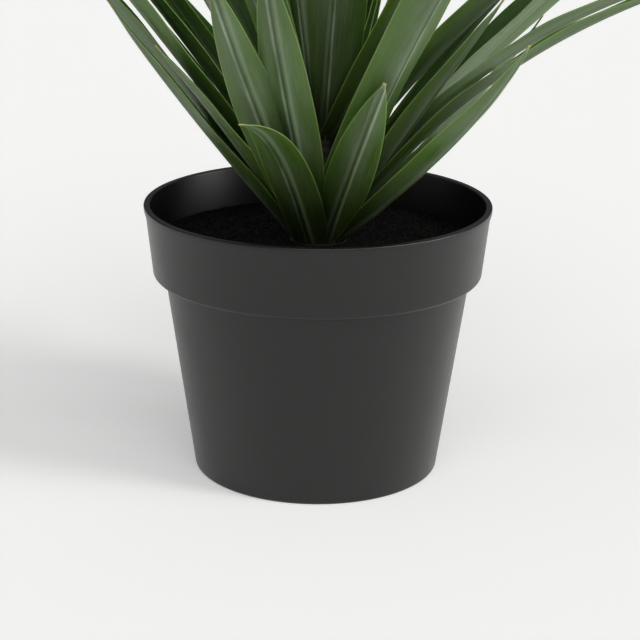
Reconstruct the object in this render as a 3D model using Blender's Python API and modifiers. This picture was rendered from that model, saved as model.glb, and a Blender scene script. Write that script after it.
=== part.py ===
"""A yucca in a plain plastic pot: the pot, the growing mix that fills it, and the rosette of leaves.

Metres, +Z up. The origin is the centre of the pot's underside, and the plant's front faces -Y.
"""

import math
import random
from collections import namedtuple

import bmesh
import bpy
import numpy as np

MERGE = 0.00001
CLEARANCE = 0.0003
TURN_STEPS = 56

# Pot: a tapered cup with a deep, slightly wider collar round its top
POT_HEIGHT = 0.135
COLLAR_DEPTH = 0.0355
LIP_RADIUS = 0.0854
LIP_WIDTH = 0.0032
LIP_BEAD = 0.006
COLLAR_TOP_RADIUS = 0.0843
COLLAR_FOOT_RADIUS = 0.0813
COLLAR_ROUND = 0.0022
BODY_TOP_RADIUS = 0.0753
BASE_RADIUS = 0.0614
BASE_ROUND = 0.0014
WALL = 0.0023
FLOOR = 0.0026

# Growing mix: a low mound that stands a little under the lip
MIX_EDGE_HEIGHT = 0.1148
MIX_TOP_HEIGHT = 0.1176
MIX_BULGE = 0.6

# Crown: the short stem that the leaves grow from, set a little in front of the pot's axis
CROWN_X = 0.0005
CROWN_Y = -0.004
CROWN_RADIUS = 0.0109
CROWN_FOOT_RADIUS = 0.014
CROWN_SUNK = 0.030
CROWN_HEIGHT = 0.092
CROWN_TIP_RADIUS = 0.0025

# Leaves: lance-shaped blades, folded along the midrib, each rooted in the crown and on its own arc
ROOT_DEPTH = 0.004
BLADE_THICKNESS = 0.0009
BLADE_ROWS = 7
BLADE_COLUMNS = 4
PATH_STEPS = 72
WIDEST_AT = 0.38
TIP_CURVE = 2.0
TIP_POWER = 0.9
FOLD = 22
ROOT_FOLD = 1.45
TIP_FOLD = 0.55
KEEL_POWER = 1.3
GOLDEN_ANGLE = 137.5

# Heading 0 is +X and -90 faces the viewer; angles in degrees, sizes in metres.
# up: height of the root above the mix; rise: slope at the root; droop: slope lost by the tip;
# bow: how late it droops; sway: heading gained by the tip; base: the root's width as a share of the width;
# turn: roll of the blade round its midrib; fold: how far each half is bent up from flat
Leaf = namedtuple("Leaf", "heading up rise droop sway length width base bow turn fold")


def leaf(heading, up, rise, droop, length, width, sway=0, base=0.6, bow=2.0, turn=0, fold=FOLD):
    return Leaf(heading, up, rise, droop, sway, length, width, base, bow, turn, fold)


FRONT_LEAVES = {
    "curled_front": leaf(-112, -0.001, 57.4, 48, 0.108, 0.0238, sway=-5, base=0.8, bow=2.8, turn=6, fold=12),
    "short_front_right": leaf(-70, 0, 55, -4, 0.1075, 0.0239, sway=10, base=0.3, turn=-34.7),
    "outermost_left": leaf(-169, -0.001, 51, -6, 0.147, 0.022),
    "low_left": leaf(-158, 0.003, 56, 7, 0.120, 0.025, turn=-9),
    "left_behind": leaf(178, 0.006, 50, -6, 0.290, 0.024, turn=10),
    "long_left": leaf(-167.4, 0.012, 54, 9.3, 0.320, 0.026, turn=-1),
    "upper_left": leaf(-179, 0.020, 55.3, 24.8, 0.340, 0.028, turn=3),
    "inner_left": leaf(171, 0.028, 54.7, 15.6, 0.340, 0.0215, turn=15, fold=28),
    "hidden_left": leaf(158, 0.034, 58, 22, 0.330, 0.024, turn=4, fold=28),
    "front_left": leaf(-120, 0.004, 55, -1, 0.165, 0.024, sway=7, turn=25),
    "front": leaf(-106, 0.008, 57, -7, 0.166, 0.0245, sway=2, turn=8),
    "narrow_front": leaf(-114, 0.034, 59, 26, 0.300, 0.025, sway=-4, turn=-4),
    "broad_front": leaf(-78, 0.054, 74, 10, 0.330, 0.0335, sway=2, base=0.9, turn=-25),
    "inner_front_right": leaf(-40, 0.052, 58, 22, 0.330, 0.0275, sway=2, turn=12),
    "broad_front_right": leaf(-58, 0.010, 57.5, 28, 0.320, 0.0295, sway=6, base=0.85, turn=-3),
    "upper_right": leaf(-18, 0.034, 53.7, 48, 0.330, 0.030, bow=1.5, turn=-6),
    "under_right": leaf(7, 0.018, 54.8, 35, 0.300, 0.0177, sway=-4, turn=-13, fold=30),
    "narrow_right": leaf(-29, 0.004, 56.5, 2.5, 0.1455, 0.0198, sway=3, base=0.4, turn=-9),
    "arched_right": leaf(-28, 0.002, 56.3, 49, 0.310, 0.016, sway=4, base=0.4, bow=1, turn=4, fold=26),
    "arched_right_behind": leaf(-15, 0.008, 58.8, 60, 0.310, 0.022, sway=1, bow=1, turn=-3),
    "lowest_right": leaf(-32.3, -0.001, 40.9, -16.8, 0.150, 0.0228, sway=-8, base=0.35, turn=-7),
    "right_behind": leaf(-11.6, 0.004, 45.3, -12.5, 0.145, 0.020, sway=-2, base=0.5, turn=-5),
    "far_right": leaf(7.4, 0.018, 46.5, 22.6, 0.340, 0.030, turn=-4),
    "far_right_behind": leaf(10.5, 0.022, 41.4, 3.3, 0.330, 0.020, sway=1, turn=-18),
}

# The side away from the viewer, in tiers: count, first and last heading, up, rise, droop, length, width
BACK_TIERS = (
    (4, 58, 138, 0.003, 52, 10, 0.165, 0.025),
    (5, 54, 136, 0.014, 57, 24, 0.270, 0.027),
    (4, 66, 128, 0.027, 62, 28, 0.330, 0.028),
)

# The heart of the rosette, turning by the golden angle from its outermost leaf to its innermost
HEART_COUNT = 9
HEART_FIRST_HEADING = 45
HEART_UP = (0.050, 0.084)
HEART_RISE = (72, 87)
HEART_DROOP = (20, 6)
HEART_LENGTH = (0.345, 0.250)
HEART_WIDTH = (0.029, 0.020)

SEED = 7


def clear_scene():
    for item in list(bpy.data.objects):
        bpy.data.objects.remove(item, do_unlink=True)


def new_collection(name):
    collection = bpy.data.collections.new(name)
    bpy.context.scene.collection.children.link(collection)
    return collection


def material(name, colour, roughness):
    finish = bpy.data.materials.new(name)
    finish.use_nodes = True
    shader = finish.node_tree.nodes["Principled BSDF"]
    shader.inputs["Base Color"].default_value = (*colour, 1.0)
    shader.inputs["Roughness"].default_value = roughness
    shader.inputs["Metallic"].default_value = 0.0
    return finish


def add_object(name, mesh, collection, finish=None):
    item = bpy.data.objects.new(name, mesh)
    collection.objects.link(item)
    if finish:
        mesh.materials.append(finish)
    return item


def apply_modifiers(item):
    evaluated = item.evaluated_get(bpy.context.evaluated_depsgraph_get())
    mesh = bpy.data.meshes.new_from_object(evaluated)
    item.modifiers.clear()
    item.data = mesh


def turned(name, profile, collection, finish=None, steps=TURN_STEPS):
    """Turns a profile of (radius, height) points round the Z axis."""
    mesh = bpy.data.meshes.new(name)
    edges = [(i, i + 1) for i in range(len(profile) - 1)]
    mesh.from_pydata([(radius, 0.0, height) for radius, height in profile], edges, [])
    item = add_object(name, mesh, collection, finish)
    screw = item.modifiers.new("Turn", "SCREW")
    screw.steps = screw.render_steps = steps
    screw.use_merge_vertices = True
    screw.merge_threshold = MERGE
    screw.use_smooth_shade = True
    return item


def rounded_corner(centre, radius, start, end, count):
    """Points on an arc about centre, from the start angle to the end angle in degrees."""
    points = []
    for i in range(count + 1):
        angle = math.radians(start + (end - start) * i / count)
        points.append((centre[0] + radius * math.cos(angle), centre[1] + radius * math.sin(angle)))
    return points


def collar_wall_radius(height):
    """Radius of the pot's inner wall inside the collar."""
    share = (POT_HEIGHT - height) / COLLAR_DEPTH
    return LIP_RADIUS - LIP_WIDTH + share * (COLLAR_FOOT_RADIUS - COLLAR_TOP_RADIUS)


def body_wall_radius(height):
    """Radius of the pot's inner wall below the collar."""
    share = height / (POT_HEIGHT - COLLAR_DEPTH)
    return BASE_RADIUS + share * (BODY_TOP_RADIUS - BASE_RADIUS) - WALL


def inner_ledge():
    """Upper and lower heights of the slope where the inner wall steps in under the collar."""
    top = POT_HEIGHT - COLLAR_DEPTH + WALL
    return top, top - 2 * WALL


def make_pot(collection):
    ledge_top, ledge_foot = inner_ledge()
    collar_foot = POT_HEIGHT - COLLAR_DEPTH
    inner_corner = LIP_RADIUS - LIP_WIDTH
    half_lip = LIP_WIDTH / 4
    profile = [(0.0, FLOOR), (body_wall_radius(FLOOR), FLOOR)]
    profile += [(body_wall_radius(ledge_foot), ledge_foot), (collar_wall_radius(ledge_top), ledge_top)]
    profile += rounded_corner((inner_corner + half_lip, POT_HEIGHT - half_lip), half_lip, 180, 90, 2)
    profile += rounded_corner((LIP_RADIUS - half_lip, POT_HEIGHT - half_lip), half_lip, 90, 0, 2)
    profile += [(LIP_RADIUS - half_lip / 4, POT_HEIGHT - LIP_BEAD / 2)]
    profile += [(COLLAR_TOP_RADIUS, POT_HEIGHT - LIP_BEAD)]
    collar_corner = (COLLAR_FOOT_RADIUS - COLLAR_ROUND, collar_foot + COLLAR_ROUND)
    profile += rounded_corner(collar_corner, COLLAR_ROUND, 0, -90, 4)
    profile += [(BODY_TOP_RADIUS + COLLAR_ROUND / 2, collar_foot)]
    profile += [(BODY_TOP_RADIUS, collar_foot - COLLAR_ROUND / 2)]
    base_corner = (BASE_RADIUS - BASE_ROUND, BASE_ROUND)
    profile += rounded_corner(base_corner, BASE_ROUND, 0, -90, 3)
    profile += [(0.0, 0.0)]
    finish = material("charcoal_plastic", (0.032, 0.032, 0.031), 0.55)
    return turned("pot", profile, collection, finish)


def mix_surface_height(radius, edge_radius):
    """Height of the mound at a distance from the pot's axis."""
    share = min(radius / edge_radius, 1.0)
    return MIX_EDGE_HEIGHT + (MIX_TOP_HEIGHT - MIX_EDGE_HEIGHT) * (1 - share ** 2) ** MIX_BULGE


def make_growing_mix(collection, cutters):
    ledge_top, ledge_foot = inner_ledge()
    edge_radius = collar_wall_radius(MIX_EDGE_HEIGHT) - CLEARANCE
    profile = []
    rings = 6
    for i in range(rings + 1):
        radius = edge_radius * i / rings
        profile.append((radius, mix_surface_height(radius, edge_radius)))
    profile += [
        (collar_wall_radius(ledge_top) - CLEARANCE, ledge_top + CLEARANCE),
        (body_wall_radius(ledge_foot) - CLEARANCE, ledge_foot + CLEARANCE),
        (body_wall_radius(FLOOR) - CLEARANCE, FLOOR + CLEARANCE),
        (0.0, FLOOR + CLEARANCE),
    ]
    finish = material("black_growing_mix", (0.008, 0.007, 0.007), 0.95)
    mix = turned("soil", profile, collection, finish)
    hole_floor = MIX_TOP_HEIGHT - CROWN_SUNK - CLEARANCE
    hole_depth = 2 * CROWN_SUNK
    mesh = bpy.data.meshes.new("crown_hole")
    form = bmesh.new()
    bmesh.ops.create_cone(
        form, cap_ends=True, segments=TURN_STEPS // 2, depth=hole_depth,
        radius1=CROWN_FOOT_RADIUS + CLEARANCE, radius2=CROWN_FOOT_RADIUS + CLEARANCE,
    )
    form.to_mesh(mesh)
    form.free()
    hole = add_object("crown_hole", mesh, cutters)
    hole.location = (CROWN_X, CROWN_Y, hole_floor + hole_depth / 2)
    hole.hide_render = True
    hole.display_type = "WIRE"
    cut = mix.modifiers.new("Hole", "BOOLEAN")
    cut.object = hole
    cut.operation = "DIFFERENCE"
    return mix


def crown_radius(up):
    """Radius of the crown at a height above the mix."""
    share = min(max(up / CROWN_HEIGHT, 0.0), 1.0)
    return CROWN_RADIUS - (CROWN_RADIUS - CROWN_TIP_RADIUS) * share ** 2


def make_crown(collection):
    """The stem under the leaves, on a wider foot that is sunk in the mix."""
    rings = 8
    profile = [(0.0, MIX_TOP_HEIGHT + CROWN_HEIGHT + CROWN_TIP_RADIUS)]
    for i in range(rings + 1):
        up = CROWN_HEIGHT * (1 - i / rings)
        profile.append((crown_radius(up), MIX_TOP_HEIGHT + up))
    profile += [(CROWN_FOOT_RADIUS, MIX_TOP_HEIGHT - CLEARANCE)]
    profile += [(CROWN_FOOT_RADIUS, MIX_TOP_HEIGHT - CROWN_SUNK), (0.0, MIX_TOP_HEIGHT - CROWN_SUNK)]
    crown = turned("leaf_rosette", profile, collection, steps=TURN_STEPS // 4)
    crown.location = (CROWN_X, CROWN_Y, 0.0)
    return crown


def blade_path(blade):
    """Midrib points, and the blade's across and up directions at each, from the root to the tip.

    The share of the length is 0 where the blade leaves the crown, and below 0 in the crown.
    """
    share = np.linspace(-ROOT_DEPTH / blade.length, 1.0, PATH_STEPS + 1)
    free = np.maximum(share, 0.0)
    slope = np.radians(blade.rise - blade.droop * free ** blade.bow)
    heading = np.radians(blade.heading + blade.sway * free)
    east, north = np.cos(heading), np.sin(heading)
    forward = np.stack([np.cos(slope) * east, np.cos(slope) * north, np.sin(slope)], axis=1)
    across = np.stack([-north, east, np.zeros_like(heading)], axis=1)
    upward = np.cross(forward, across)
    roll = math.radians(blade.turn)
    across, upward = (
        across * math.cos(roll) + upward * math.sin(roll),
        upward * math.cos(roll) - across * math.sin(roll),
    )
    out = crown_radius(blade.up)
    leaving = np.array([CROWN_X + out * east[0], CROWN_Y + out * north[0], MIX_TOP_HEIGHT + blade.up])
    root = leaving - forward[0] * ROOT_DEPTH
    steps = (forward[1:] + forward[:-1]) / 2 * (blade.length + ROOT_DEPTH) / PATH_STEPS
    middle = np.vstack([root, root + np.cumsum(steps, axis=0)])
    return share, middle, across, upward


def half_width(blade, share):
    """Half the blade's width along its length: a broad base, widest past a third, then a long taper."""
    growing = np.sin(np.clip(share / WIDEST_AT, 0, 1) * math.pi / 2)
    tapering = np.clip((share - WIDEST_AT) / (1 - WIDEST_AT), 0, 1)
    outline = (blade.base + (1 - blade.base) * growing) * (1 - tapering ** TIP_CURVE) ** TIP_POWER
    return blade.width / 2 * outline


def blade_point(blade, path, along, side):
    """The place on the blade at a share of its length, and a side from -1 to 1 between its margins."""
    share, *fields = path
    middle, across, upward = (
        np.array([np.interp(along, share, column) for column in field.T]) for field in fields
    )
    fold = math.radians(blade.fold * (TIP_FOLD + (ROOT_FOLD - TIP_FOLD) * min(1 - along, 1)))
    reach = half_width(blade, along)
    sideways = reach * math.cos(fold) * side
    lift = reach * math.sin(fold) * abs(side) ** KEEL_POWER
    return middle + across * sideways + upward * lift


def make_blade(name, blade, collection):
    """One leaf: a grid laid along its arc, drawn together at the tip, and given its thickness."""
    path = blade_path(blade)
    form = bmesh.new()
    bmesh.ops.create_grid(form, x_segments=BLADE_ROWS, y_segments=BLADE_COLUMNS, size=0.5)
    sunk = path[0][0]
    for vert in form.verts:
        vert.co = blade_point(blade, path, sunk + (1 - sunk) * (vert.co.x + 0.5), 2 * vert.co.y)
    bmesh.ops.remove_doubles(form, verts=form.verts, dist=MERGE)
    bmesh.ops.triangulate(form, faces=form.faces)
    mesh = bpy.data.meshes.new(name)
    form.to_mesh(mesh)
    form.free()
    item = add_object(name, mesh, collection)
    skin = item.modifiers.new("Thickness", "SOLIDIFY")
    skin.thickness = BLADE_THICKNESS
    skin.offset = 0.0
    skin.use_even_offset = True
    return item


def back_leaves(rng):
    """The leaves on the far side, evenly spread in each tier with a little chance."""
    leaves = {}
    for tier, (count, first, last, up, rise, droop, length, width) in enumerate(BACK_TIERS):
        for i in range(count):
            heading = first + (last - first) * i / (count - 1) + rng.uniform(-5, 5)
            leaves[f"back_{tier}_{i}"] = leaf(
                heading, up + rng.uniform(0, 0.006), rise + rng.uniform(-3, 3), droop + rng.uniform(-5, 5),
                length * rng.uniform(0.92, 1.08), width * rng.uniform(0.92, 1.05),
                sway=rng.uniform(-6, 6), turn=rng.uniform(-8, 8),
            )
    return leaves


def between(ends, share):
    return ends[0] + (ends[1] - ends[0]) * share


def heart_leaves(rng):
    """The upright leaves in the middle of the rosette."""
    leaves = {}
    for i in range(HEART_COUNT):
        share = i / (HEART_COUNT - 1)
        leaves[f"heart_{i}"] = leaf(
            HEART_FIRST_HEADING + GOLDEN_ANGLE * i, between(HEART_UP, share),
            between(HEART_RISE, share) + rng.uniform(-3, 2), between(HEART_DROOP, share),
            between(HEART_LENGTH, share) * rng.uniform(0.95, 1.05), between(HEART_WIDTH, share),
            sway=rng.uniform(-8, 8), turn=rng.uniform(-8, 8),
        )
    return leaves


def all_leaves():
    rng = random.Random(SEED)
    return {**FRONT_LEAVES, **back_leaves(rng), **heart_leaves(rng)}


def make_rosette(collection):
    """The crown with every leaf joined to it in one solid."""
    crown = make_crown(collection)
    blades = new_collection("rosette_blades")
    for name, blade in all_leaves().items():
        make_blade(name, blade, blades)
    join = crown.modifiers.new("Join", "BOOLEAN")
    join.operation = "UNION"
    join.operand_type = "COLLECTION"
    join.collection = blades
    apply_modifiers(crown)
    for item in list(blades.objects):
        bpy.data.objects.remove(item, do_unlink=True)
    bpy.data.collections.remove(blades)
    crown.data.materials.clear()
    crown.data.materials.append(material("yucca_leaf", (0.07, 0.13, 0.04), 0.45))
    return crown


def main():
    clear_scene()
    plant = new_collection("potted_yucca")
    cutters = new_collection("cutters")
    make_pot(plant)
    make_growing_mix(plant, cutters)
    make_rosette(plant)


main()
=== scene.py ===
"""A potted yucca: pot, growing mix with loose crumbs, crown and leaves, in a plain pale studio.

Metres, +Z up. Heading 0 is +X and -90 faces the camera; angles are in degrees.
"""

import math
import random
from collections import namedtuple

import bpy
import numpy as np
from mathutils import Matrix, Vector, noise


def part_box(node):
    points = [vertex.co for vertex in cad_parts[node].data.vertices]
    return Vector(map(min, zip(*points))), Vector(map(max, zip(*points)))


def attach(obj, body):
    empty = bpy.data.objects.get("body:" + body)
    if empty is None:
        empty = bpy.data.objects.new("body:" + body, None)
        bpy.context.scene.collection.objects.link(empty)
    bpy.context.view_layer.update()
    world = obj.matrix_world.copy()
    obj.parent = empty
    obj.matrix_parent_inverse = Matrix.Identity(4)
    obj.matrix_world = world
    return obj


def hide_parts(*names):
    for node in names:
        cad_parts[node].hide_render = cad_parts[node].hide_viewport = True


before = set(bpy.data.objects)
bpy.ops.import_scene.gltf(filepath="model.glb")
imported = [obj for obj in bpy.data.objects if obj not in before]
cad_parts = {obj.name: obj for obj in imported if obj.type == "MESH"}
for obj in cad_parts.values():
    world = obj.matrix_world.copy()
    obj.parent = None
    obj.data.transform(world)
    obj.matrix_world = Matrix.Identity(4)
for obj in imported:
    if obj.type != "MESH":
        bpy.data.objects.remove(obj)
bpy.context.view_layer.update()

SEED = 7
MERGE = 0.00001
CLEARANCE = 0.0003

# Pot, with the sizes of its CAD solid
POT_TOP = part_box("pot")[1][2]
COLLAR_DEPTH = 0.0355
LIP_RADIUS = 0.0854
LIP_WIDTH = 0.0032
LIP_BEAD = 0.006
COLLAR_TOP_RADIUS = 0.0843
COLLAR_FOOT_RADIUS = 0.0813
COLLAR_ROUND = 0.0022
BODY_TOP_RADIUS = 0.0753
BASE_RADIUS = 0.0614
BASE_ROUND = 0.0014
WALL = 0.0023
FLOOR = 0.0026
POT_STEPS = 192

# Growing mix
MIX_EDGE_HEIGHT = 0.1148
MIX_TOP_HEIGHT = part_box("soil")[1][2]
MIX_BULGE = 0.6
MIX_RINGS = 130
MIX_STEPS = 480
GRAIN_SIZE = 0.0009
GRAIN_LIFT = 0.0004
CRUMB_COUNT = 7000
CRUMB_SIZES = (0.00025, 0.0006)

# Crown
CROWN_X = 0.0005
CROWN_Y = -0.004
CROWN_RADIUS = 0.0109
CROWN_FOOT_RADIUS = 0.014
CROWN_SUNK = 0.030
CROWN_HEIGHT = 0.092
CROWN_TIP_RADIUS = 0.0025

# Blades: the CAD blade's outline and fold, with a finer midrib, margins and tip
ROOT_DEPTH = 0.004
ROWS = 72
COLUMNS = 36
RIB_COLUMNS = 10
RIB_ZONE = 0.0026
PATH_STEPS = 144
WIDEST_AT = 0.38
TIP_CURVE = 2.0
TIP_POWER = 0.9
FOLD = 22
ROOT_FOLD = 1.45
TIP_FOLD = 0.55
KEEL_POWER = 1.3
BLADE_THICKNESS = 0.0008
MARGIN_SHARE = 0.4
NUB_HALF_WIDTH = 0.0009
RIB_DEPTH = 0.0006
RIB_WIDTH = 0.0022
CREST_OFFSET = 0.0012
CREST_DEPTH = 0.0004
CREST_WIDTH = 0.0004
SOFT_CREST_OFFSET = 0.0016
SOFT_CREST_WIDTH = 0.0009
CHANNEL_DEPTH = 0.0005
CHANNEL_WIDTH = 0.0006
MARGIN_WAVE = 0.0006
GOLDEN_ANGLE = 137.5

Leaf = namedtuple("Leaf", "heading up rise droop sway length width base bow turn fold")


def leaf(heading, up, rise, droop, length, width, sway=0, base=0.6, bow=2.0, turn=0, fold=FOLD):
    return Leaf(heading, up, rise, droop, sway, length, width, base, bow, turn, fold)


FRONT_LEAVES = {
    "curled_front": leaf(-112, -0.001, 57.4, 48, 0.108, 0.0238, sway=-5, base=0.8, bow=2.8, turn=6, fold=12),
    "short_front_right": leaf(-70, 0, 55, -4, 0.1075, 0.0239, sway=10, base=0.3, turn=-34.7),
    "outermost_left": leaf(-169, -0.001, 51, -6, 0.147, 0.022),
    "low_left": leaf(-158, 0.003, 56, 7, 0.120, 0.025, turn=-9),
    "left_behind": leaf(178, 0.006, 50, -6, 0.290, 0.024, turn=10),
    "long_left": leaf(-167.4, 0.012, 54, 9.3, 0.320, 0.026, turn=-1),
    "upper_left": leaf(-179, 0.020, 55.3, 24.8, 0.340, 0.028, turn=3),
    "inner_left": leaf(171, 0.028, 54.7, 15.6, 0.340, 0.0215, turn=15, fold=28),
    "hidden_left": leaf(158, 0.034, 58, 22, 0.330, 0.024, turn=4, fold=28),
    "front_left": leaf(-120, 0.004, 55, -1, 0.165, 0.024, sway=7, turn=25),
    "front": leaf(-106, 0.008, 57, -7, 0.166, 0.0245, sway=2, turn=8),
    "narrow_front": leaf(-114, 0.034, 59, 26, 0.300, 0.025, sway=-4, turn=-4),
    "broad_front": leaf(-78, 0.054, 74, 10, 0.330, 0.0335, sway=2, base=0.9, turn=-25),
    "inner_front_right": leaf(-40, 0.052, 58, 22, 0.330, 0.0275, sway=2, turn=12),
    "broad_front_right": leaf(-58, 0.010, 57.5, 28, 0.320, 0.0295, sway=6, base=0.85, turn=-3),
    "upper_right": leaf(-18, 0.034, 53.7, 48, 0.330, 0.030, bow=1.5, turn=-6),
    "under_right": leaf(7, 0.018, 54.8, 35, 0.300, 0.0177, sway=-4, turn=-13, fold=30),
    "narrow_right": leaf(-29, 0.004, 56.5, 2.5, 0.1455, 0.0198, sway=3, base=0.4, turn=-9),
    "arched_right": leaf(-28, 0.002, 56.3, 49, 0.310, 0.016, sway=4, base=0.4, bow=1, turn=4, fold=26),
    "arched_right_behind": leaf(-15, 0.008, 58.8, 60, 0.310, 0.022, sway=1, bow=1, turn=-3),
    "lowest_right": leaf(-32.3, -0.001, 40.9, -16.8, 0.150, 0.0228, sway=-8, base=0.35, turn=-7),
    "right_behind": leaf(-11.6, 0.004, 45.3, -12.5, 0.145, 0.020, sway=-2, base=0.5, turn=-5),
    "far_right": leaf(7.4, 0.018, 46.5, 22.6, 0.340, 0.030, turn=-4),
    "far_right_behind": leaf(10.5, 0.022, 41.4, 3.3, 0.330, 0.020, sway=1, turn=-18),
}

# The side away from the camera, in tiers: count, first and last heading, up, rise, droop, length, width
BACK_TIERS = (
    (4, 58, 138, 0.003, 52, 10, 0.165, 0.025),
    (5, 54, 136, 0.014, 57, 24, 0.270, 0.027),
    (4, 66, 128, 0.027, 62, 28, 0.330, 0.028),
)

# The heart of the rosette, turning by the golden angle from its outermost leaf to its innermost
HEART_COUNT = 9
HEART_FIRST_HEADING = 45
HEART_UP = (0.050, 0.084)
HEART_RISE = (72, 87)
HEART_DROOP = (20, 6)
HEART_LENGTH = (0.345, 0.250)
HEART_WIDTH = (0.029, 0.020)

# Camera, fitted to the photo, which is 640 x 640
CAMERA_PLACE = (0.0015, -0.9088, 0.3695)
CAMERA_PITCH = 18.02
CAMERA_ROLL = 0.58
CAMERA_LENS = 107.4
SENSOR_WIDTH = 36.0


def select_only(item):
    bpy.ops.object.select_all(action="DESELECT")
    item.select_set(True)
    bpy.context.view_layer.objects.active = item


def tie_to_frame(item, node):
    """Puts the piece's place in its mesh, hangs it under the root body, and hides the CAD node that it stands
    for.
    """
    select_only(item)
    bpy.ops.object.transform_apply(location=True, rotation=True, scale=True)
    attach(item, "root")
    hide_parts(node)


def smooth(item, angle):
    select_only(item)
    bpy.ops.object.shade_smooth_by_angle(angle=math.radians(angle))


def spun(name, profile, steps):
    """Draws a profile of (radius, height) points beside the Z axis and spins it right round."""
    bpy.ops.object.select_all(action="DESELECT")
    radius, height = profile[0]
    bpy.ops.mesh.primitive_plane_add(size=LIP_WIDTH, location=(radius, 0, height))
    item = bpy.context.object
    item.name = item.data.name = name
    bpy.ops.object.mode_set(mode="EDIT")
    bpy.ops.mesh.select_all(action="SELECT")
    bpy.ops.mesh.merge(type="CENTER")
    for (start_radius, start_height), (end_radius, end_height) in zip(profile, profile[1:]):
        step = (end_radius - start_radius, 0, end_height - start_height)
        bpy.ops.mesh.extrude_vertices_move(TRANSFORM_OT_translate={"value": step})
    bpy.ops.mesh.select_all(action="SELECT")
    bpy.ops.mesh.spin(steps=steps, angle=2 * math.pi, center=(0, 0, 0), axis=(0, 0, 1))
    bpy.ops.mesh.select_all(action="SELECT")
    bpy.ops.mesh.remove_doubles(threshold=MERGE)
    bpy.ops.mesh.normals_make_consistent(inside=False)
    bpy.ops.object.mode_set(mode="OBJECT")
    return item


def corner(centre, radius, start, end, count):
    """Points on an arc about centre, from the start angle to the end angle."""
    points = []
    for i in range(count + 1):
        angle = math.radians(start + (end - start) * i / count)
        points.append((centre[0] + radius * math.cos(angle), centre[1] + radius * math.sin(angle)))
    return points


def collar_wall_radius(height):
    share = (POT_TOP - height) / COLLAR_DEPTH
    return LIP_RADIUS - LIP_WIDTH + share * (COLLAR_FOOT_RADIUS - COLLAR_TOP_RADIUS)


def body_wall_radius(height):
    share = height / (POT_TOP - COLLAR_DEPTH)
    return BASE_RADIUS + share * (BODY_TOP_RADIUS - BASE_RADIUS) - WALL


def inner_ledge():
    top = POT_TOP - COLLAR_DEPTH + WALL
    return top, top - 2 * WALL


def make_pot(finish):
    """The moulded pot: flat lip with soft corners, deep collar, tapered body and flat underside."""
    ledge_top, ledge_foot = inner_ledge()
    collar_foot = POT_TOP - COLLAR_DEPTH
    inner_corner = LIP_RADIUS - LIP_WIDTH
    half_lip = LIP_WIDTH / 4
    profile = [(0, FLOOR), (body_wall_radius(FLOOR), FLOOR)]
    profile += [(body_wall_radius(ledge_foot), ledge_foot), (collar_wall_radius(ledge_top), ledge_top)]
    profile += corner((inner_corner + half_lip, POT_TOP - half_lip), half_lip, 180, 90, 6)
    profile += corner((LIP_RADIUS - half_lip, POT_TOP - half_lip), half_lip, 90, 0, 6)
    profile += [(LIP_RADIUS - half_lip / 4, POT_TOP - LIP_BEAD / 2)]
    profile += [(COLLAR_TOP_RADIUS, POT_TOP - LIP_BEAD)]
    collar_corner = (COLLAR_FOOT_RADIUS - COLLAR_ROUND, collar_foot + COLLAR_ROUND)
    profile += corner(collar_corner, COLLAR_ROUND, 0, -90, 10)
    neck = BODY_TOP_RADIUS + COLLAR_ROUND / 2
    profile += corner((neck, collar_foot - COLLAR_ROUND / 2), COLLAR_ROUND / 2, 90, 180, 5)
    profile += corner((BASE_RADIUS - BASE_ROUND, BASE_ROUND), BASE_ROUND, 0, -90, 6)
    profile += [(0, 0)]
    pot = spun("plastic_pot", profile, POT_STEPS)
    smooth(pot, 35)
    pot.data.materials.append(finish)
    tie_to_frame(pot, "pot")


def mix_height(radius, edge_radius):
    share = min(radius / edge_radius, 1.0)
    return MIX_EDGE_HEIGHT + (MIX_TOP_HEIGHT - MIX_EDGE_HEIGHT) * (1 - share ** 2) ** MIX_BULGE


def mix_edge_radius():
    return collar_wall_radius(MIX_EDGE_HEIGHT) - CLEARANCE


def grain_height(x, y):
    """Height of the crumbly surface over the smooth mound."""
    place = Vector((x, y, 0)) / GRAIN_SIZE
    cells = noise.voronoi(place)[0]
    lumps = noise.fractal(place / 6, 1.0, 2.0, 3)
    return GRAIN_LIFT * (0.8 - 1.6 * min(cells[0], 1.0) + lumps)


def make_growing_mix(finish):
    """The mix as one body that fills the pot, with a grainy top and a plain hole for the crown."""
    ledge_top, ledge_foot = inner_ledge()
    edge_radius = mix_edge_radius()
    profile = []
    for i in range(MIX_RINGS + 1):
        radius = edge_radius * i / MIX_RINGS
        profile.append((radius, mix_height(radius, edge_radius)))
    profile += [
        (collar_wall_radius(ledge_top) - CLEARANCE, ledge_top + CLEARANCE),
        (body_wall_radius(ledge_foot) - CLEARANCE, ledge_foot + CLEARANCE),
        (body_wall_radius(FLOOR) - CLEARANCE, FLOOR + CLEARANCE),
        (0, FLOOR + CLEARANCE),
    ]
    mix = spun("growing_mix", profile, MIX_STEPS)
    for vert in mix.data.vertices:
        if vert.co.z > MIX_EDGE_HEIGHT + MERGE:
            vert.co.z += grain_height(vert.co.x, vert.co.y)
    bpy.ops.object.select_all(action="DESELECT")
    hole_floor = MIX_TOP_HEIGHT - CROWN_SUNK - CLEARANCE
    bpy.ops.mesh.primitive_cylinder_add(
        vertices=64, radius=CROWN_FOOT_RADIUS + CLEARANCE, depth=2 * CROWN_SUNK,
        location=(CROWN_X, CROWN_Y, hole_floor + CROWN_SUNK),
    )
    hole = bpy.context.object
    select_only(mix)
    cut = mix.modifiers.new("Hole", "BOOLEAN")
    cut.object = hole
    cut.operation = "DIFFERENCE"
    bpy.ops.object.modifier_apply(modifier=cut.name)
    bpy.data.objects.remove(hole, do_unlink=True)
    smooth(mix, 60)
    mix.data.materials.clear()
    mix.data.materials.append(finish)
    tie_to_frame(mix, "soil")


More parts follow.
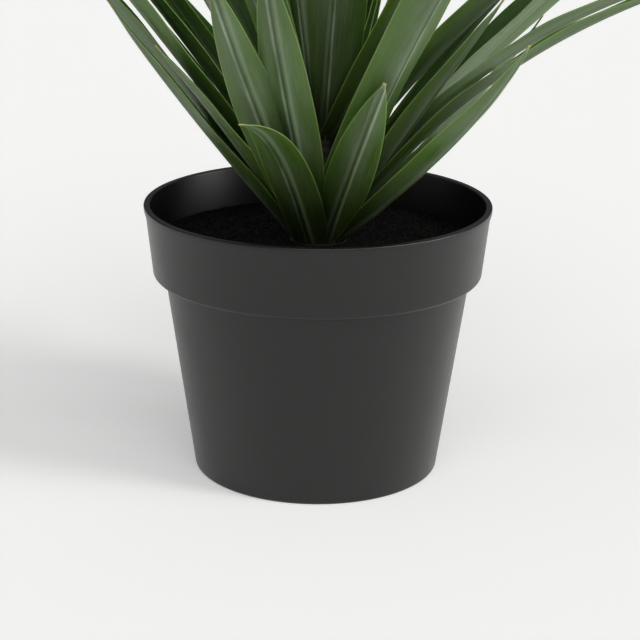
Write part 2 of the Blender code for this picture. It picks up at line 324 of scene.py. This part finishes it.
def joined_copies(name, verts, faces):
    """One mesh of many copies: verts is (copies, points, 3), faces one copy's list of corners."""
    copies, points = verts.shape[:2]
    corners = np.array(faces)
    everywhere = (corners[None] + points * np.arange(copies)[:, None, None]).reshape(-1, corners.shape[1])
    mesh = bpy.data.meshes.new(name)
    mesh.from_pydata(verts.reshape(-1, 3).tolist(), [], everywhere.tolist())
    item = bpy.data.objects.new(name, mesh)
    bpy.context.scene.collection.objects.link(item)
    return item


def make_crumbs(finish, rng):
    """Loose crumbs strewn over the mix: one knobbly grain, copied, turned and sized by chance."""
    bpy.ops.object.select_all(action="DESELECT")
    bpy.ops.mesh.primitive_ico_sphere_add(subdivisions=1, radius=1)
    grain = bpy.context.object
    knobs = np.array([vert.co * (1 + 0.35 * noise.noise(vert.co * 1.7)) for vert in grain.data.vertices])
    faces = [list(face.vertices) for face in grain.data.polygons]
    bpy.data.objects.remove(grain, do_unlink=True)
    edge_radius = mix_edge_radius()
    verts = []
    while len(verts) < CRUMB_COUNT:
        radius = (edge_radius - CRUMB_SIZES[1]) * math.sqrt(rng.random())
        angle = rng.uniform(0, 2 * math.pi)
        x, y = radius * math.cos(angle), radius * math.sin(angle)
        size = rng.uniform(*CRUMB_SIZES)
        turn = noise.random_unit_vector()
        if math.hypot(x - CROWN_X, y - CROWN_Y) < CROWN_FOOT_RADIUS + 2 * CRUMB_SIZES[1]:
            continue
        spin = np.array(Matrix.Rotation(rng.uniform(0, math.pi), 3, turn))
        stretch = np.array([rng.uniform(0.7, 1.2), rng.uniform(0.7, 1.2), rng.uniform(0.6, 1.0)])
        height = mix_height(radius, edge_radius) + 0.3 * size
        verts.append(knobs * stretch @ spin * size + np.array([x, y, height]))
    crumbs = joined_copies("loose_crumbs", np.array(verts), faces)
    smooth(crumbs, 30)
    crumbs.data.materials.append(finish)
    tie_to_frame(crumbs, "soil")


def crown_radius(up):
    share = np.clip(up / CROWN_HEIGHT, 0.0, 1.0)
    return CROWN_RADIUS - (CROWN_RADIUS - CROWN_TIP_RADIUS) * share ** 2


def make_crown(finish):
    """The short stem under the leaves, ringed by old leaf scars."""
    rings = 60
    ring_depth = 0.0004
    ring_pitch = 0.0045
    profile = [(0, MIX_TOP_HEIGHT + CROWN_HEIGHT + CROWN_TIP_RADIUS)]
    for i in range(rings + 1):
        up = CROWN_HEIGHT * (1 - i / rings)
        scar = ring_depth * (math.cos(2 * math.pi * up / ring_pitch) - 1)
        profile.append((float(crown_radius(up)) + scar, MIX_TOP_HEIGHT + up))
    profile += [(CROWN_FOOT_RADIUS, MIX_TOP_HEIGHT - CLEARANCE)]
    profile += [(CROWN_FOOT_RADIUS, MIX_TOP_HEIGHT - CROWN_SUNK), (0, MIX_TOP_HEIGHT - CROWN_SUNK)]
    crown = spun("crown", profile, 48)
    crown.location.x += CROWN_X
    crown.location.y += CROWN_Y
    smooth(crown, 50)
    crown.data.materials.append(finish)
    tie_to_frame(crown, "leaf_rosette")


def blade_path(blade):
    """Midrib points, and the blade's across and up directions at each, from the root to the tip.

    The share of the length is 0 where the blade leaves the crown, and below 0 in the crown.
    """
    share = np.linspace(-ROOT_DEPTH / blade.length, 1.0, PATH_STEPS + 1)
    free = np.maximum(share, 0.0)
    slope = np.radians(blade.rise - blade.droop * free ** blade.bow)
    heading = np.radians(blade.heading + blade.sway * free)
    east, north = np.cos(heading), np.sin(heading)
    forward = np.stack([np.cos(slope) * east, np.cos(slope) * north, np.sin(slope)], axis=1)
    across = np.stack([-north, east, np.zeros_like(heading)], axis=1)
    upward = np.cross(forward, across)
    roll = math.radians(blade.turn)
    across, upward = (
        across * math.cos(roll) + upward * math.sin(roll),
        upward * math.cos(roll) - across * math.sin(roll),
    )
    out = crown_radius(blade.up)
    leaving = np.array([CROWN_X + out * east[0], CROWN_Y + out * north[0], MIX_TOP_HEIGHT + blade.up])
    root = leaving - forward[0] * ROOT_DEPTH
    steps = (forward[1:] + forward[:-1]) / 2 * (blade.length + ROOT_DEPTH) / PATH_STEPS
    middle = np.vstack([root, root + np.cumsum(steps, axis=0)])
    return share, (middle, across, upward)


def half_width(blade, share):
    """Half the blade's width: a broad base, widest past a third, then a long taper to a small blunt nub."""
    growing = np.sin(np.clip(share / WIDEST_AT, 0, 1) * math.pi / 2)
    tapering = np.clip((share - WIDEST_AT) / (1 - WIDEST_AT), 0, 1)
    outline = (blade.base + (1 - blade.base) * growing) * (1 - tapering ** TIP_CURVE) ** TIP_POWER
    return np.maximum(blade.width / 2 * outline, NUB_HALF_WIDTH)


def make_blank():
    """One flat blade, side -1 to 1 along X and root to tip along Y, its margins set to be thinner."""
    bpy.ops.object.select_all(action="DESELECT")
    bpy.ops.mesh.primitive_grid_add(x_subdivisions=COLUMNS, y_subdivisions=ROWS, size=2)
    blank = bpy.context.object
    flesh = blank.vertex_groups.new(name="flesh")
    for vert in blank.data.vertices:
        flesh.add([vert.index], 1 - abs(vert.co.x) ** 3, "REPLACE")
    return blank


def hump(distance, centre, width):
    """A smooth rise of 1 at the centre that is gone a little past the width."""
    return np.exp(-((distance - centre) / width) ** 2)


def spread_columns(flat_side, reach):
    """Distance from the midrib: the inner columns crowd into the midrib's zone, the others share the rest."""
    inner = np.minimum(RIB_ZONE, reach / 2)
    split = 2 * RIB_COLUMNS / COLUMNS
    near = np.minimum(flat_side / split, 1) * inner
    return near + np.maximum(flat_side - split, 0) / (1 - split) * (reach - inner)


def midrib_relief(blade, from_rib, side):
    """How far the midrib stands out underneath: a ridge, a channel, one sharp crest and one soft crest."""
    sharp = side > 0 if math.cos(math.radians(blade.heading)) > 0 else side < 0
    relief = RIB_DEPTH * hump(from_rib, 0, RIB_WIDTH)
    relief += CREST_DEPTH * np.where(sharp, hump(from_rib, CREST_OFFSET, CREST_WIDTH), 0)
    relief += CREST_DEPTH * np.where(sharp, 0, hump(from_rib, SOFT_CREST_OFFSET, SOFT_CREST_WIDTH))
    return relief - CHANNEL_DEPTH * hump(from_rib, 0, CHANNEL_WIDTH), sharp


def lay_blade(mesh, blade, rng):
    """Bends the flat blade to its arc, with its midrib, its fold and its waved margins."""
    flat = np.empty(len(mesh.vertices) * 3)
    mesh.vertices.foreach_get("co", flat)
    flat = flat.reshape(-1, 3)
    share, fields = blade_path(blade)
    along = share[0] + (1 - share[0]) * (flat[:, 1] + 1) / 2
    middle, across, upward = (
        np.stack([np.interp(along, share, column) for column in field.T], axis=1) for field in fields
    )
    fold = np.radians(blade.fold * (TIP_FOLD + (ROOT_FOLD - TIP_FOLD) * np.minimum(1 - along, 1)))
    reach = half_width(blade, along)
    from_rib = spread_columns(np.abs(flat[:, 0]), reach)
    side = np.sign(flat[:, 0]) * from_rib / reach
    lift = reach * np.sin(fold) * np.abs(side) ** KEEL_POWER
    relief, sharp = midrib_relief(blade, from_rib, side)
    lift -= relief * np.clip(reach / (2 * RIB_WIDTH), 0, 1)
    calm_ends = np.sin(math.pi * np.maximum(along, 0))
    for margin in (-1, 1):
        waves = rng.uniform(2.0, 3.5) * blade.length / 0.2
        start = rng.uniform(0, 2 * math.pi)
        wave = MARGIN_WAVE * np.sin(2 * math.pi * waves * along + start) * calm_ends
        lift += wave * np.clip(margin * side, 0, 1) ** 2
    place = middle + across * (reach * np.cos(fold) * side)[:, None] + upward * lift[:, None]
    mesh.vertices.foreach_set("co", place.ravel())
    measures = {
        "from_rib": from_rib,
        "from_margin": reach - from_rib,
        "from_root": np.maximum(along, 0) * blade.length,
        "from_tip": (1 - along) * blade.length,
        "across": side * reach,
        "sharp_side": sharp.astype(float),
        "tone": np.full(len(along), rng.random()),
    }
    for name, values in measures.items():
        mesh.attributes.new(name, "FLOAT", "POINT").data.foreach_set("value", values)
    mesh.update()


def make_leaf(name, blade, blank, finish, rng):
    """One leaf: the flat blade copied, laid along its arc and given its thickness."""
    item = blank.copy()
    item.data = blank.data.copy()
    item.name = item.data.name = "leaf_" + name
    bpy.context.scene.collection.objects.link(item)
    lay_blade(item.data, blade, rng)
    select_only(item)
    skin = item.modifiers.new("Thickness", "SOLIDIFY")
    skin.thickness = BLADE_THICKNESS
    skin.offset = 0.0
    skin.vertex_group = "flesh"
    skin.thickness_vertex_group = MARGIN_SHARE
    bpy.ops.object.modifier_apply(modifier=skin.name)
    smooth(item, 60)
    item.data.materials.append(finish)
    tie_to_frame(item, "leaf_rosette")


def back_leaves(rng):
    """The leaves on the far side, evenly spread in each tier with a little chance."""
    leaves = {}
    for tier, (count, first, last, up, rise, droop, length, width) in enumerate(BACK_TIERS):
        for i in range(count):
            heading = first + (last - first) * i / (count - 1) + rng.uniform(-5, 5)
            leaves[f"back_{tier}_{i}"] = leaf(
                heading, up + rng.uniform(0, 0.006), rise + rng.uniform(-3, 3), droop + rng.uniform(-5, 5),
                length * rng.uniform(0.92, 1.08), width * rng.uniform(0.92, 1.05),
                sway=rng.uniform(-6, 6), turn=rng.uniform(-8, 8),
            )
    return leaves


def between(ends, share):
    return ends[0] + (ends[1] - ends[0]) * share


def heart_leaves(rng):
    """The upright leaves in the middle of the rosette."""
    leaves = {}
    for i in range(HEART_COUNT):
        share = i / (HEART_COUNT - 1)
        leaves[f"heart_{i}"] = leaf(
            HEART_FIRST_HEADING + GOLDEN_ANGLE * i, between(HEART_UP, share),
            between(HEART_RISE, share) + rng.uniform(-3, 2), between(HEART_DROOP, share),
            between(HEART_LENGTH, share) * rng.uniform(0.95, 1.05), between(HEART_WIDTH, share),
            sway=rng.uniform(-8, 8), turn=rng.uniform(-8, 8),
        )
    return leaves


def make_leaves(finish):
    """Every leaf of the rosette, in the CAD source's order, so that the same chances fall the same way."""
    rng = random.Random(SEED)
    leaves = {**FRONT_LEAVES, **back_leaves(rng), **heart_leaves(rng)}
    blank = make_blank()
    rng = random.Random(SEED)
    for name, blade in leaves.items():
        make_leaf(name, blade, blank, finish, rng)
    bpy.data.objects.remove(blank, do_unlink=True)


def group_tree(name, inputs, outputs):
    """A shader node group with its named sockets, and its input and output nodes."""
    tree = bpy.data.node_groups.new(name, "ShaderNodeTree")
    for label, kind in inputs:
        tree.interface.new_socket(name=label, in_out="INPUT", socket_type="NodeSocket" + kind)
    for label, kind in outputs:
        tree.interface.new_socket(name=label, in_out="OUTPUT", socket_type="NodeSocket" + kind)
    return tree, tree.nodes.new("NodeGroupInput"), tree.nodes.new("NodeGroupOutput")


def connect(tree, value, socket):
    """Links a socket to another, or sets a plain value on it."""
    if isinstance(value, bpy.types.NodeSocket):
        tree.links.new(value, socket)
    else:
        socket.default_value = value


def calc(tree, operation, *values, clamp=False):
    node = tree.nodes.new("ShaderNodeMath")
    node.operation = operation
    node.use_clamp = clamp
    for value, socket in zip(values, node.inputs):
        connect(tree, value, socket)
    return node.outputs[0]


def blend(tree, mask, first, second):
    """The first colour where the mask is 0, and the second where it is 1."""
    node = tree.nodes.new("ShaderNodeMix")
    node.data_type = "RGBA"
    sockets = {socket.identifier: socket for socket in node.inputs}
    connect(tree, mask, sockets["Factor_Float"])
    for value, label in ((first, "A_Color"), (second, "B_Color")):
        connect(tree, (*value, 1) if isinstance(value, tuple) else value, sockets[label])
    return next(socket for socket in node.outputs if socket.identifier == "Result_Color")


def measure(tree, name):
    node = tree.nodes.new("ShaderNodeAttribute")
    node.attribute_name = name
    return node.outputs["Fac"]


def use_group(tree, group, **values):
    node = tree.nodes.new("ShaderNodeGroup")
    node.node_tree = group
    for label, value in values.items():
        connect(tree, value, node.inputs[label.replace("_", " ").title()])
    return node.outputs


def band_group():
    """A soft stripe: 1 where the distance is at the centre, falling to 0 at the half width."""
    tree, start, end = group_tree(
        "soft_band",
        [("Distance", "Float"), ("Centre", "Float"), ("Half Width", "Float")],
        [("Mask", "Float")],
    )
    off = calc(tree, "ABSOLUTE", calc(tree, "SUBTRACT", start.outputs["Distance"], start.outputs["Centre"]))
    share = calc(tree, "DIVIDE", off, start.outputs["Half Width"], clamp=True)
    mask = calc(tree, "SMOOTH_MIN", calc(tree, "SUBTRACT", 1.0, share), 1.0, 0.2)
    tree.links.new(mask, end.inputs["Mask"])
    return tree


def mottle_group():
    """Uneven patches of a given size in metres, from 0 to 1."""
    tree, start, end = group_tree(
        "mottle", [("Size", "Float"), ("Detail", "Float")], [("Mask", "Float")],
    )
    place = tree.nodes.new("ShaderNodeTexCoord")
    texture = tree.nodes.new("ShaderNodeTexNoise")
    tree.links.new(place.outputs["Object"], texture.inputs["Vector"])
    tree.links.new(calc(tree, "DIVIDE", 1.0, start.outputs["Size"]), texture.inputs["Scale"])
    tree.links.new(start.outputs["Detail"], texture.inputs["Detail"])
    spread = tree.nodes.new("ShaderNodeMapRange")
    spread.inputs["From Min"].default_value = 0.3
    spread.inputs["From Max"].default_value = 0.7
    tree.links.new(texture.outputs[0], spread.inputs["Value"])
    tree.links.new(spread.outputs["Result"], end.inputs["Mask"])
    return tree


def fibre_group():
    """Streaks that run with the leaf, from 0 to 1: their pitch across it, and how far they stretch."""
    labels = ("Across", "Along", "Tone", "Pitch", "Stretch")
    tree, start, end = group_tree("fibres", [(label, "Float") for label in labels], [("Lines", "Float")])
    place = tree.nodes.new("ShaderNodeCombineXYZ")
    tree.links.new(calc(tree, "DIVIDE", start.outputs["Across"], start.outputs["Pitch"]), place.inputs["X"])
    length = calc(tree, "MULTIPLY", start.outputs["Pitch"], start.outputs["Stretch"])
    tree.links.new(calc(tree, "DIVIDE", start.outputs["Along"], length), place.inputs["Y"])
    tree.links.new(calc(tree, "MULTIPLY", start.outputs["Tone"], 100.0), place.inputs["Z"])
    texture = tree.nodes.new("ShaderNodeTexNoise")
    texture.inputs["Scale"].default_value = 1.0
    texture.inputs["Detail"].default_value = 3.0
    tree.links.new(place.outputs["Vector"], texture.inputs["Vector"])
    spread = tree.nodes.new("ShaderNodeMapRange")
    spread.inputs["From Min"].default_value = 0.3
    spread.inputs["From Max"].default_value = 0.7
    tree.links.new(texture.outputs[0], spread.inputs["Value"])
    tree.links.new(spread.outputs["Result"], end.inputs["Lines"])
    return tree


def new_finish(name):
    finish = bpy.data.materials.new(name)
    finish.use_nodes = True
    return finish, finish.node_tree, finish.node_tree.nodes["Principled BSDF"]


def bump(tree, shader, height, distance, strength=1.0):
    node = tree.nodes.new("ShaderNodeBump")
    node.inputs["Strength"].default_value = strength
    node.inputs["Distance"].default_value = distance
    tree.links.new(height, node.inputs["Height"])
    tree.links.new(node.outputs["Normal"], shader.inputs["Normal"])


def plastic_finish(mottle):
    """Charcoal plastic with the fine even grain of a sandblasted mould."""
    finish, tree, shader = new_finish("charcoal_plastic")
    patches = use_group(tree, mottle, size=0.03, detail=4.0)["Mask"]
    grain = use_group(tree, mottle, size=0.0006, detail=2.0)["Mask"]
    colour = blend(tree, patches, (0.0028, 0.0028, 0.0027), (0.0040, 0.0040, 0.0038))
    tree.links.new(colour, shader.inputs["Base Color"])
    rough = calc(tree, "MULTIPLY_ADD", patches, 0.05, 0.33)
    tree.links.new(rough, shader.inputs["Roughness"])
    bump(tree, shader, grain, 0.00003)
    return finish


def mix_finish(mottle):
    """Black crumbs, some of them a little browner."""
    finish, tree, shader = new_finish("black_growing_mix")
    shader.inputs["Specular IOR Level"].default_value = 0.12
    specks = use_group(tree, mottle, size=0.0014, detail=3.0)["Mask"]
    patches = use_group(tree, mottle, size=0.012, detail=2.0)["Mask"]
    colour = blend(tree, specks, (0.0010, 0.0009, 0.0009), (0.0085, 0.0078, 0.0072))
    colour = blend(tree, calc(tree, "MULTIPLY", patches, 0.5), colour, (0.0020, 0.0018, 0.0017))
    tree.links.new(colour, shader.inputs["Base Color"])
    tree.links.new(calc(tree, "MULTIPLY_ADD", specks, -0.15, 0.95), shader.inputs["Roughness"])
    grain = use_group(tree, mottle, size=0.0004, detail=2.0)["Mask"]
    bump(tree, shader, grain, 0.0001)
    return finish


def nearness(tree, distance, reach):
    """1 at no distance, falling evenly to 0 at the reach."""
    return calc(tree, "SUBTRACT", 1.0, calc(tree, "DIVIDE", distance, reach), clamp=True)


def leaf_finish(band, fibres):
    """Waxy leaf: painted sheen near the midrib, painted highlights on its crests, painted glow towards the
    margins, pale margins partly painted light, root darkened partly by painted shade, pale tip.
    """
    finish, tree, shader = new_finish("yucca_leaf")
    shader.inputs["Subsurface Weight"].default_value = 0.5
    shader.inputs["Subsurface Radius"].default_value = (0.6, 1.0, 0.1)
    shader.inputs["Subsurface Scale"].default_value = 0.002
    across, rib, margin, root, tip, tone, sharp = (
        measure(tree, name)
        for name in ("across", "from_rib", "from_margin", "from_root", "from_tip", "tone", "sharp_side")
    )
    run = {"across": across, "along": root, "tone": tone}
    lines = use_group(tree, fibres, pitch=0.0007, stretch=90.0, **run)["Lines"]
    patches = use_group(tree, fibres, pitch=0.006, stretch=5.0, **run)["Lines"]
    wing = calc(tree, "DIVIDE", rib, calc(tree, "ADD", rib, margin), clamp=True)
    # Deep green near the midrib and lighter yellow-green towards the margins: the lighter green is painted
    # light glowing through the thin blade.
    inner = blend(tree, tone, (0.030, 0.075, 0.010), (0.040, 0.098, 0.008))
    outer_glow = blend(tree, tone, (0.070, 0.135, 0.018), (0.088, 0.175, 0.014))
    towards_edge = calc(tree, "MULTIPLY_ADD", lines, 0.3, calc(tree, "MULTIPLY", wing, 0.8))
    colour = blend(tree, towards_edge, inner, outer_glow)
    # Painted sheen: grey-green patches near the midrib that stand for the bright studio reflected in the wax.
    painted_sheen = calc(tree, "MULTIPLY_ADD", wing, -0.9, 1.0)
    painted_sheen = calc(tree, "MULTIPLY", painted_sheen, calc(tree, "MULTIPLY_ADD", patches, 0.8, 0.12))
    colour = blend(tree, painted_sheen, colour, (0.180, 0.245, 0.140))
    # Darker and yellower towards the root: partly the leaf's own colour, partly painted shade of the crowded
    # crown.
    root_tint_and_shade = nearness(tree, root, 0.085)
    colour = blend(tree, calc(tree, "MULTIPLY", root_tint_and_shade, 0.85), colour, (0.030, 0.056, 0.003))
    channel = use_group(tree, band, distance=rib, centre=0.0, half_width=0.0009)["Mask"]
    colour = blend(tree, calc(tree, "MULTIPLY", channel, 0.5), colour, (0.030, 0.065, 0.014))
    # Painted highlight: a soft pale band along the soft crest beside the channel.
    soft = use_group(tree, band, distance=rib, centre=0.0018, half_width=0.0012)["Mask"]
    soft = calc(tree, "MULTIPLY", soft, calc(tree, "SUBTRACT", 1.0, sharp))
    colour = blend(tree, calc(tree, "MULTIPLY", soft, 0.45), colour, (0.22, 0.27, 0.19))
    # Painted highlight: a crisp pale glint along the sharp crest, stronger in some patches than in others.
    crest = use_group(tree, band, distance=rib, centre=0.0012, half_width=0.0005)["Mask"]
    glint_strength = calc(tree, "MULTIPLY_ADD", patches, 0.6, 0.2)
    crest = calc(tree, "MULTIPLY", calc(tree, "MULTIPLY", crest, sharp), glint_strength)
    colour = blend(tree, crest, colour, (0.42, 0.48, 0.38))
    # Pale margins: partly the leaf's own pale rim, partly painted light catching its thin translucent edge.
    edge = use_group(tree, band, distance=margin, centre=0.0, half_width=0.0006)["Mask"]
    colour = blend(tree, calc(tree, "MULTIPLY", edge, 0.8), colour, (0.24, 0.34, 0.13))
    # Near-black foot: partly the leaf's own dark base, partly painted shade deep in the crown.
    root_dark_and_shade = nearness(tree, root, 0.032)
    colour = blend(tree, calc(tree, "MULTIPLY", root_dark_and_shade, 0.85), colour, (0.008, 0.013, 0.002))
    dry = use_group(tree, band, distance=tip, centre=0.0, half_width=0.004)["Mask"]
    colour = blend(tree, dry, colour, (0.40, 0.37, 0.15))
    tree.links.new(colour, shader.inputs["Base Color"])
    rough = calc(tree, "MULTIPLY_ADD", patches, 0.22, 0.27)
    tree.links.new(calc(tree, "MULTIPLY_ADD", lines, 0.08, rough), shader.inputs["Roughness"])
    relief = calc(tree, "MULTIPLY_ADD", patches, 2.5, lines)
    bump(tree, shader, relief, 0.00012)
    return finish


def crown_finish(mottle):
    """Fibrous crown, nearly as dark as the mix: its own dark brown deepened with painted shade of the
    rosette's heart, with browner patches.
    """
    finish, tree, shader = new_finish("crown_skin_and_shade")
    patches = use_group(tree, mottle, size=0.004, detail=4.0)["Mask"]
    colour = blend(tree, patches, (0.003, 0.004, 0.001), (0.012, 0.013, 0.004))
    tree.links.new(colour, shader.inputs["Base Color"])
    tree.links.new(calc(tree, "MULTIPLY_ADD", patches, 0.2, 0.6), shader.inputs["Roughness"])
    grain = use_group(tree, mottle, size=0.0009, detail=3.0)["Mask"]
    bump(tree, shader, grain, 0.0002)
    return finish


def floor_finish():
    finish, tree, shader = new_finish("pale_floor")
    shader.inputs["Base Color"].default_value = (0.85, 0.85, 0.84, 1)
    shader.inputs["Roughness"].default_value = 0.9
    shader.inputs["Specular IOR Level"].default_value = 0.0
    shader.inputs["Emission Color"].default_value = (1.0, 1.0, 0.995, 1)
    shader.inputs["Emission Strength"].default_value = 0.27
    return finish


def make_floor():
    bpy.ops.object.select_all(action="DESELECT")
    bpy.ops.mesh.primitive_circle_add(vertices=64, radius=6, fill_type="NGON")
    floor = bpy.context.object
    floor.name = "floor"
    floor.data.materials.append(floor_finish())


def add_sun(name, azimuth, elevation, strength, angle, colour):
    """A soft distant light that comes from a compass side, with 0 at +X and 90 at +Y."""
    light = bpy.data.lights.new(name, "SUN")
    light.energy = strength
    light.angle = math.radians(angle)
    light.color = colour
    item = bpy.data.objects.new(name, light)
    bpy.context.scene.collection.objects.link(item)
    round_, up = math.radians(azimuth), math.radians(elevation)
    towards = Vector((math.cos(up) * math.cos(round_), math.cos(up) * math.sin(round_), math.sin(up)))
    item.rotation_euler = towards.to_track_quat("Z", "Y").to_euler()


def make_studio():
    world = bpy.data.worlds.new("studio")
    world.use_nodes = True
    background = world.node_tree.nodes["Background"]
    background.inputs["Color"].default_value = (0.96, 0.98, 1.0, 1)
    background.inputs["Strength"].default_value = 0.10
    bpy.context.scene.world = world
    add_sun("key_softbox", -27, 38, 1.05, 16, (1.0, 0.985, 0.96))
    add_sun("front_softbox", -85, 50, 1.1, 50, (1.0, 1.0, 1.0))
    add_sun("overhead_softbox", 80, 68, 0.35, 90, (1.0, 1.0, 1.0))
    add_sun("right_softbox", -8, 9, 1.1, 25, (1.0, 1.0, 1.0))
    add_sun("left_softbox", 185, 14, 0.3, 50, (1.0, 1.0, 1.0))


def make_camera():
    camera = bpy.data.cameras.new("camera")
    camera.lens = CAMERA_LENS
    camera.sensor_width = SENSOR_WIDTH
    camera.dof.use_dof = False
    item = bpy.data.objects.new("camera", camera)
    bpy.context.scene.collection.objects.link(item)
    pitch = Matrix.Rotation(math.radians(90 - CAMERA_PITCH), 3, "X")
    roll = Matrix.Rotation(math.radians(CAMERA_ROLL), 3, "Z")
    item.rotation_euler = (pitch @ roll).to_euler()
    item.location = CAMERA_PLACE
    bpy.context.scene.camera = item


def main():
    bpy.context.scene.view_settings.view_transform = "Standard"
    noise.seed_set(SEED)
    make_camera()
    make_studio()
    make_floor()
    band, mottle, fibres = band_group(), mottle_group(), fibre_group()
    make_pot(plastic_finish(mottle))
    mix = mix_finish(mottle)
    make_growing_mix(mix)
    make_crumbs(mix, random.Random(SEED))
    make_crown(crown_finish(mottle))
    make_leaves(leaf_finish(band, fibres))


main()
